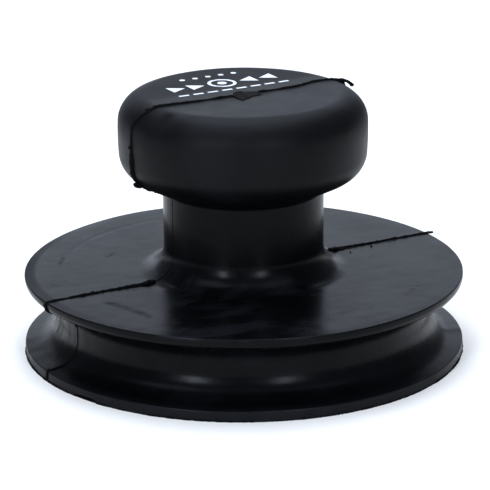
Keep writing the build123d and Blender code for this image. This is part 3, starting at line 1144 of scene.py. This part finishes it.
def build_object():
    body_rubber = rubber(
        "black_rubber", (0.0009, 0.0010, 0.0012), (0.0019, 0.0021, 0.0024), (0.22, 0.30), 0.068, 0.35
    )
    knob_rubber = rubber(
        "knob_rubber", (0.0010, 0.0011, 0.0013), (0.0022, 0.0024, 0.0028), (0.37, 0.46), 0.092, 0.6
    )
    torn = torn_rubber()
    ink = white_ink()
    zones = make_zones()
    flash = make_flash()
    icons, marks = make_print()
    for name, body in (("lower_flange", "rim"), ("sealing_lip", "rim"), ("upper_flange", "bell"),
                       ("bell_crown", "bell"), ("neck", "grip")):
        finish_piece(zones[name], body_rubber, body, name)
    finish_piece(zones["knob"], knob_rubber, "grip", "knob")
    for name, cad_node in (("bell_wall", "bell_wall"), ("root_low", "neck_root"), ("root_high", "neck_root")):
        finish_piece(zones[name], body_rubber, None, cad_node)
    for name, body, cad_node in (
        ("rim", "rim", "rim_flash"),
        ("wall", None, "waist_flash"),
        ("flange", "bell", "flange_flash"),
        ("crown", "bell", "flange_flash"),
        ("root_low", None, "root_flash"),
        ("root_high", None, "root_flash"),
        ("neck", "grip", "neck_flash"),
        ("knob", "grip", "knob_flash"),
    ):
        finish_piece(flash[name], torn, body, cad_node)
    finish_piece(make_burr(), torn, "rim", "rim_burr")
    finish_piece(make_gate(), torn, "grip", "gate_vestige")
    finish_piece(icons, ink, "grip", "printed_icons")
    finish_piece(marks, ink, "grip", "printed_marks")
    for piece in (zones["bell_wall"], flash["wall"]):
        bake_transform(piece)
    for piece in (zones["root_low"], flash["root_low"]):
        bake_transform(piece)
    for piece in (zones["root_high"], flash["root_high"]):
        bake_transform(piece)


# ---------------------------------------------------------------- studio

LIGHT_TINT = (0.90, 0.99, 1.16)
SURROUND = 0.19
LIGHT_AIM = Vector((0, 0, 0.03))
FLOOR_HALF = 4.0

# Name, azimuth and elevation in degrees, distance, width and height in metres, and radiance
LIGHTS = (
    ("back_sheet", 184, 9, 1.5, 1.3, 0.75, 1.05),
    ("overhead_softbox", 180, 84, 1.2, 0.9, 0.9, 4.2),
    ("rear_softbox", 180, 56, 1.3, 0.9, 0.7, 3.0),
    ("left_softbox", -60, 58, 1.3, 0.6, 0.6, 2.4),
    ("right_softbox", 60, 58, 1.3, 0.6, 0.6, 0.9),
    ("front_softbox", 0, 62, 1.4, 1.0, 0.6, 0.7),
    ("left_front_strip", -29, 17, 1.2, 0.09, 0.50, 42.0),
    ("right_front_strip", 24, 17, 1.2, 0.09, 0.50, 34.0),
)

CAMERA_ELEVATION = 17.755
CAMERA_ROLL = 0.336
CAMERA_DISTANCE = 0.7497
CAMERA_TARGET = Vector((0.00038, 0, 0.02839))
CAMERA_SENSOR = 36.0
CAMERA_LENS = 201.306


def make_floor():
    mesh = bpy.data.meshes.new("floor")
    corners = [(x * FLOOR_HALF, y * FLOOR_HALF, 0) for x, y in ((-1, -1), (1, -1), (1, 1), (-1, 1))]
    mesh.from_pydata(corners, [], [(0, 1, 2, 3)])
    floor = collection_add("floor", mesh)
    floor.data.materials.append(floor_paper())


def area_light(name, azimuth, elevation, distance, width, tall, radiance):
    """A soft light that faces the object. Azimuth 0 is the camera's side and 90 is the right."""
    lamp = bpy.data.lights.new(name, "AREA")
    lamp.shape = "RECTANGLE"
    lamp.size = width
    lamp.size_y = tall
    lamp.energy = radiance * math.pi * width * tall
    lamp.color = LIGHT_TINT
    piece = bpy.data.objects.new(name, lamp)
    bpy.context.scene.collection.objects.link(piece)
    turn, rise = math.radians(azimuth), math.radians(elevation)
    place = LIGHT_AIM + distance * Vector(
        (math.sin(turn) * math.cos(rise), -math.cos(turn) * math.cos(rise), math.sin(rise))
    )
    piece.location = place
    piece.rotation_euler = (LIGHT_AIM - place).to_track_quat("-Z", "Y").to_euler()


def make_lights():
    """Soft lights above, behind and in front of the object, and a dim even surround."""
    world = bpy.data.worlds.new("studio")
    bpy.context.scene.world = world
    world.use_nodes = True
    surround = world.node_tree.nodes["Background"]
    surround.inputs["Color"].default_value = (*LIGHT_TINT, 1)
    surround.inputs["Strength"].default_value = SURROUND
    for light in LIGHTS:
        area_light(*light)


def make_camera():
    """The camera: a long lens, a little above the object, tilted a trace to one side."""
    camera_data = bpy.data.cameras.new("camera")
    camera_data.sensor_width = CAMERA_SENSOR
    camera_data.lens = CAMERA_LENS
    camera_data.clip_start = 0.01
    camera = bpy.data.objects.new("camera", camera_data)
    bpy.context.scene.collection.objects.link(camera)
    rise = math.radians(CAMERA_ELEVATION)
    place = CAMERA_TARGET + CAMERA_DISTANCE * Vector((0, -math.cos(rise), math.sin(rise)))
    turn = (CAMERA_TARGET - place).to_track_quat("-Z", "Y").to_matrix().to_4x4()
    roll = Matrix.Rotation(-math.radians(CAMERA_ROLL), 4, "Z")
    camera.matrix_world = Matrix.Translation(place) @ turn @ roll
    bpy.context.scene.camera = camera


build_object()
make_floor()
make_lights()
make_camera()
bpy.context.scene.view_settings.view_transform = "Standard"
